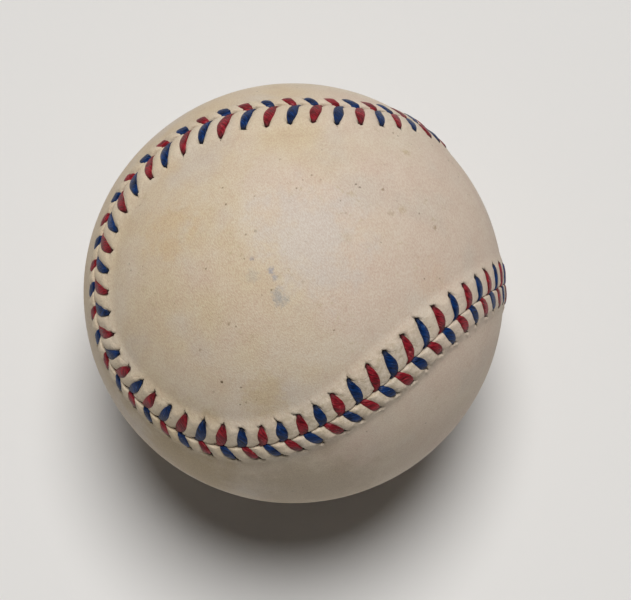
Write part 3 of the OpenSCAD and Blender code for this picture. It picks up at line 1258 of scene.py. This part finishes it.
    def patches(self, board: PaintBoard) -> Wire:
        """The wide, soft changes of colour over the ball.

        Args:
            board: The panel's board.

        Returns:
            The colour.
        """
        yellow = board.cloud(19.0, 3.0, 0.55, warp=0.5)
        yellow = yellow + board.vector("DOT_PRODUCT", board.place, self.tan_side) / 110.0
        colour = board.blend(yellow.eased(0.55, 0.95) * 0.8, self.cream, self.tan)
        pink = board.cloud(15.0, 2.0, where=board.moved(31.0, 7.0, 11.0))
        pink = pink + board.vector("DOT_PRODUCT", board.place, self.rose_side) / 90.0
        colour = board.blend(pink.eased(0.6, 0.95) * 0.8, colour, self.rose)
        pale = board.cloud(12.0, 3.0, 0.5, where=board.moved(3.0, 17.0, 41.0))
        colour = board.blend(pale.eased(0.5, 0.72) * 0.7, colour, self.grey)
        return board.shaded(colour, board.cloud(3.4, 4.0, 0.6).eased(0.3, 0.7), 0.08, 0.24)

    def add_stains_and_shade(self, board: PaintBoard, colour: Wire) -> Wire:
        """Adds the stains, and two patches of painted shade at the bottom of the ball, with ragged edges.

        Args:
            board: The panel's board.
            colour: The colour so far.

        Returns:
            The colour.
        """
        for colour_patch in self.stains_and_shade:
            away = board.vector("DISTANCE", board.place, colour_patch.place)
            ragged = board.cloud(max(colour_patch.reach * 0.5, 0.35), 3.0, 0.7) - 0.5
            share = (away + ragged * colour_patch.reach * 2.2).eased(colour_patch.reach, colour_patch.reach * 0.2)
            colour = board.blend(share * colour_patch.strength, colour, colour_patch.colour)
        return colour

    def specked(self, board: PaintBoard, colour: Wire) -> Wire:
        """Adds small dark specks and olive blotches, more of them in some places.

        Args:
            board: The panel's board.
            colour: The colour so far.

        Returns:
            The colour.
        """
        few = board.cloud(8.0, 2.0, 0.5, where=board.moved(5.0, 40.0, 3.0))
        specks = (board.cells(self.speck_gap) + (board.cloud(0.4, 2.0, 0.6) - 0.5) * 0.22).eased(0.11, 0.02)
        colour = board.blend(specks * few.eased(0.42, 0.62) * 0.7, colour, self.speck)
        blotch = board.cloud(1.1, 3.0, 0.7).eased(0.56, 0.74) * few.eased(0.45, 0.6)
        return board.blend(blotch * 0.4, colour, self.olive)

    def worn(self, board: PaintBoard, colour: Wire, welt: Wire) -> Wire:
        """Makes the raised edge and the torn lips paler, and the edge dingy where hands held it.

        Args:
            board: The panel's board.
            colour: The colour so far.
            welt: How much of the raised edge there is.

        Returns:
            The colour.
        """
        colour = board.blend(welt * 0.22, colour, self.fresh)
        handled = board.vector("DISTANCE", board.place, self.handled_place).eased(*self.handled_fade)
        dingy = board.cloud(0.9, 3.0, 0.7, where=board.moved(2.0, 9.0, 5.0)).eased(0.42, 0.66)
        colour = board.blend(dingy * welt * handled * 0.5, colour, self.dingy)
        return board.blend(board.attribute("lip") * 0.5, colour, self.fresh)


@dataclass(frozen=True)
class WaxedThread:
    """Waxed twisted thread, worn on top, and darker with dirt and painted shade where it goes into the
    leather.
    """

    bright: Colour
    deep: Colour
    worn: Colour
    soil: Colour
    chart_length: float = SeamThread.uv_length
    turns_per_mm: float = 0.18
    fibre_size: float = 0.27
    relief_depth: float = 0.17
    gloss: float = 0.24

    def paint(self, piece: bpy.types.Object) -> None:
        """Dresses a thread.

        Args:
            piece: The thread, whose UV map "along" runs along and round it.
        """
        board = PaintBoard(f"{piece.name}_wax")
        chart = board.wire("ShaderNodeUVMap", 0, {"uv_map": "along"})
        split = board.node("ShaderNodeSeparateXYZ", inputs={0: chart})
        along, around = Wire(board, split.outputs[0]) * self.chart_length, Wire(board, split.outputs[1])
        turned = (around + along * self.turns_per_mm) * (2.0 * math.pi)
        ring = {1: board.maths("SINE", turned) * 0.8, 2: board.maths("COSINE", turned) * 0.8}
        twisted = board.wire("ShaderNodeCombineXYZ", 0, inputs={0: along * 0.22, **ring})
        fibre = board.cloud(self.fibre_size, 3.0, 0.65, where=twisted)
        patch = board.cloud(1.5, 2.0)
        colour = board.blend((fibre * 0.75 + patch * 0.25).eased(0.38, 0.66), self.deep, self.bright)
        rubbed = board.cloud(0.9, 3.0, 0.7, where=board.moved(17.0, 3.0, 8.0))
        colour = board.blend((rubbed * 0.6 + fibre * 0.5).eased(0.64, 0.76) * 0.5, colour, self.worn)
        # Darker where the thread goes into the leather: dirt and painted shade.
        soil = board.attribute("soil")
        colour = board.blend(soil.eased(0.1, 0.9) * 0.88, colour, self.soil)
        normal = board.relief(fibre * 0.8 + patch * 0.3, self.relief_depth)
        board.coat(piece, colour, fibre * 0.35 + 0.18 + soil * 0.4, normal, Specular_IOR_Level=self.gloss)


@dataclass(frozen=True)
class WoundYarn:
    """Yarn wound round and round in crossing turns, painted darker in the grooves between the turns as
    shade.
    """

    light: Colour
    dark: Colour
    yarn_w: float
    relief_share: float = 0.5
    ways: tuple[tuple[float, float, float], ...] = ((0.9, 0.3, 0.3), (-0.4, 0.85, 0.35), (0.2, -0.45, 0.87))

    def paint(self, piece: bpy.types.Object) -> None:
        """Dresses a winding.

        Args:
            piece: The winding.
        """
        board = PaintBoard(f"{piece.name}_yarn")
        bent, often = board.cloud(11.0, 2.0) * 1.6, 2.0 * math.pi / self.yarn_w
        across = (board.vector("DOT_PRODUCT", board.place, way) + bent for way in self.ways)
        first, second, third = (board.maths("SINE", distance * often) for distance in across)
        crossing = board.cloud(7.0, 1.0).eased(0.44, 0.5)
        other = board.cloud(7.0, 1.0, where=board.moved(9.0, 4.0, 2.0)).eased(0.5, 0.56)
        lay = first * crossing + second * (1.0 - crossing)
        lay = (lay * other + third * (1.0 - other)) * 0.5 + 0.5
        fluff = board.cloud(self.yarn_w * 0.3, 4.0, 0.7)
        # Dark in the grooves of the relief, light on the strands: painted shade between the turns.
        colour = board.blend((lay * 0.7 + fluff * 0.4).eased(0.15, 0.85), self.dark, self.light)
        normal = board.relief(lay + fluff * 0.5, self.yarn_w * self.relief_share)
        board.coat(piece, colour, 0.85 + fluff * 0.1, normal)


@dataclass(frozen=True)
class MouldedRubber:
    """Moulded rubber with faint flow marks and bloom."""

    colour: Colour
    bloom: Colour
    roughness: float = 0.6
    relief_depth: float = 0.04

    def paint(self, piece: bpy.types.Object) -> None:
        """Dresses a rubber piece.

        Args:
            piece: The piece.
        """
        board = PaintBoard(f"{piece.name}_rubber")
        bloom = board.cloud(6.0, 4.0, 0.6).eased(0.45, 0.8)
        fine = board.cloud(0.4, 3.0, 0.6)
        colour = board.blend(bloom * 0.35, self.colour, self.bloom)
        board.coat(piece, colour, fine * 0.2 + self.roughness - 0.1, board.relief(fine, self.relief_depth))


@dataclass(frozen=True)
class GroundCork:
    """Ground cork bound with rubber: light and dark crumbs."""

    light: Colour = srgb(196, 150, 96)
    dark: Colour = srgb(96, 62, 36)
    crumb_gap: float = 1.3
    relief_depth: float = 0.12

    def paint(self, piece: bpy.types.Object) -> None:
        """Dresses the core.

        Args:
            piece: The core.
        """
        board = PaintBoard(f"{piece.name}_cork")
        crumbs = board.cells(self.crumb_gap)
        dust = board.cloud(0.5, 4.0, 0.7)
        colour = board.blend((crumbs + dust * 0.5).eased(0.35, 0.95), self.light, self.dark)
        board.coat(piece, colour, 0.85 + dust * 0.1, board.relief(crumbs + dust * 0.4, self.relief_depth))


@dataclass(frozen=True)
class DriedCement:
    """A thin, glossy skin of dried rubber cement over the cotton."""

    thin: Colour = srgb(214, 190, 140)
    thick: Colour = srgb(176, 132, 72)
    relief_depth: float = 0.08

    def paint(self, piece: bpy.types.Object) -> None:
        """Dresses the coat of cement.

        Args:
            piece: The coat.
        """
        board = PaintBoard(f"{piece.name}_cement")
        runs = board.cloud(5.0, 4.0, 0.6, warp=1.2)
        colour = board.blend(runs.eased(0.35, 0.7), self.thin, self.thick)
        height = runs + board.cloud(0.6, 2.0) * 0.3
        board.coat(piece, colour, runs * 0.2 + 0.22, board.relief(height, self.relief_depth))


@dataclass
class Cover:
    """The two leather panels and the two threads, which stand for their CAD nodes."""

    seam: Seam
    inner_r: float
    leather: AgedLeather
    # The last colour of each thread is its dirt and painted shade where it goes into the leather.
    red: WaxedThread = WaxedThread(srgb(166, 31, 46), srgb(80, 7, 16), srgb(216, 146, 138), srgb(26, 8, 9))
    blue: WaxedThread = WaxedThread(srgb(3, 54, 116), srgb(1, 15, 42), srgb(112, 142, 178), srgb(4, 8, 17))

    def build(self) -> None:
        """Makes, dresses and places all four pieces."""
        work = Handwork(self.seam)
        for side, node in ((Side.A, "cover_panel_a"), (Side.B, "cover_panel_b")):
            panel = LeatherPanel(self.seam, work, side, self.inner_r).build(f"sewn_{node}")
            self.leather.paint(panel)
            self.place(panel, node, "cover_leather")
        for side, node, finish in ((Side.A, "red_thread", self.red), (Side.B, "blue_thread", self.blue)):
            thread = SeamThread(self.seam, work, side).build(f"waxed_{node}")
            finish.paint(thread)
            self.place(thread, node, node)

    def place(self, piece: bpy.types.Object, node: str, slot: str) -> None:
        """Hands a piece to the frame in place of its CAD node.

        Args:
            piece: The piece.
            node: The node.
            slot: Not used.
        """
        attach(piece, "root")
        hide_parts(node)
        LOG.info("%s: %d faces", piece.name, len(piece.data.polygons))


@dataclass
class Inside:
    """The core and the windings, whose CAD shapes stay and get their finish."""

    nodes: dict[str, bpy.types.Object]

    def dress(self) -> None:
        """Dresses each hidden layer."""
        red = MouldedRubber(srgb(150, 44, 40), srgb(190, 120, 110))
        black = MouldedRubber(srgb(34, 34, 36), srgb(96, 94, 92), roughness=0.55)
        finishes = {
            "cork_core": GroundCork(),
            "black_shell_upper": black,
            "black_shell_lower": black,
            "core_washer": red,
            "red_rubber_layer": red,
            "grey_wool_winding": WoundYarn(srgb(168, 164, 158), srgb(74, 70, 68), yarn_w=2.2),
            "white_wool_winding": WoundYarn(srgb(232, 228, 216), srgb(150, 144, 130), yarn_w=1.7),
            "fine_wool_winding": WoundYarn(srgb(180, 176, 170), srgb(90, 86, 82), yarn_w=1.4),
            "cotton_winding": WoundYarn(srgb(240, 234, 218), srgb(170, 160, 138), yarn_w=0.5),
            "cement_coat": DriedCement(),
        }
        for name, finish in finishes.items():
            finish.paint(self.nodes[name])
            LOG.info("%s dressed", name)


@dataclass
class Studio:
    """The camera of the photograph, a pale floor and soft light.

    The lamp's way is counted towards the camera, up in the picture and to its right.
    """

    rest_z: float
    right: Vector = field(default_factory=lambda: Vector((0.9067, -0.4217, 0.0032)).normalized())
    up: Vector = field(default_factory=lambda: Vector((0.4119, 0.8872, 0.2081)).normalized())
    distance: float = 474.7
    image_w: float = 631.0
    focal_px: float = 2681.5
    centre_px: tuple[float, float] = (293.5, 293.2)
    image_centre_px: tuple[float, float] = (315.5, 300.0)
    sensor_w: float = 36.0
    sight_m: tuple[float, float] = (0.01, 20.0)
    pale: Colour = srgb(226, 224, 221)
    floor_r: float = 3000.0
    floor_sides: int = 128
    floor_rough: float = 0.9
    key_way: tuple[float, float, float] = (0.87, 0.49, 0.03)
    key_strength: float = 2.9
    key_angle: float = 28.0
    world_light: float = 0.05

    def build(self) -> None:
        """Sets up everything that isn't the ball."""
        toward = self.right.cross(self.up).normalized()
        self.camera(toward)
        self.floor()
        ahead, upwards, sideways = self.key_way
        self.lamp(toward * ahead + self.up * upwards + self.right * sideways)
        self.world()

    def camera(self, toward: Vector) -> None:
        """Puts the camera where the photograph was taken from.

        Args:
            toward: Direction from the ball to the camera.
        """
        data = bpy.data.cameras.new("photo_camera")
        data.sensor_width = self.sensor_w
        data.lens = self.focal_px / self.image_w * self.sensor_w
        data.shift_x = (self.image_centre_px[0] - self.centre_px[0]) / self.image_w
        data.shift_y = (self.centre_px[1] - self.image_centre_px[1]) / self.image_w
        data.clip_start, data.clip_end = self.sight_m
        camera = bpy.data.objects.new("photo_camera", data)
        turn = Matrix((self.right, toward.cross(self.right), toward)).transposed()
        camera.matrix_world = Matrix.Translation(toward * self.distance * MM) @ turn.to_4x4()
        bpy.context.scene.collection.objects.link(camera)
        bpy.context.scene.camera = camera

    def lamp(self, way: Vector) -> None:
        """Adds one wide, distant light, which lights the ball and the whole floor evenly.

        Args:
            way: Direction from the ball to the light.
        """
        data = bpy.data.lights.new("key_light", "SUN")
        data.energy, data.angle = self.key_strength, math.radians(self.key_angle)
        lamp = bpy.data.objects.new("key_light", data)
        lamp.rotation_euler = way.to_track_quat("Z", "Y").to_euler()
        bpy.context.scene.collection.objects.link(lamp)

    def floor(self) -> None:
        """Lays the pale floor under the ball."""
        bpy.ops.mesh.primitive_circle_add(vertices=self.floor_sides, radius=self.floor_r * MM,
                                          fill_type="NGON", location=(0.0, 0.0, self.rest_z * MM))
        floor = bpy.context.object
        floor.name = "floor"
        PaintBoard("pale_floor").coat(floor, self.pale, self.floor_rough)

    def world(self) -> None:
        """Lights the scene evenly, and shows a pale backdrop to the camera."""
        world = bpy.data.worlds.new("studio")
        board = Board(world)
        even, shown = (
            board.wire("ShaderNodeBackground", 0, inputs={"Color": colour, "Strength": strength})
            for colour, strength in (((1.0, 1.0, 1.0), self.world_light), (self.pale, 1.0)))
        seen = board.wire("ShaderNodeLightPath", "Is Camera Ray")
        mixed = board.wire("ShaderNodeMixShader", 0, inputs={0: seen, 1: even, 2: shown})
        board.node("ShaderNodeOutputWorld", inputs={"Surface": mixed})
        bpy.context.scene.world = world


def main() -> None:
    """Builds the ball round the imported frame, and the studio round the ball."""
    logging.basicConfig(level=logging.INFO, format="%(name)s: %(message)s")
    bpy.context.scene.view_settings.view_transform = "Standard"
    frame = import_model()
    ball_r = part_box("cover_panel_a")[1].z / MM
    inner_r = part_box("cement_coat")[1].z / MM + LAYER_GAP
    Studio(-ball_r).build()
    Cover(Seam(ball_r), inner_r, AgedLeather()).build()
    Inside(frame["nodes"]).dress()


if __name__ == "__main__":
    main()
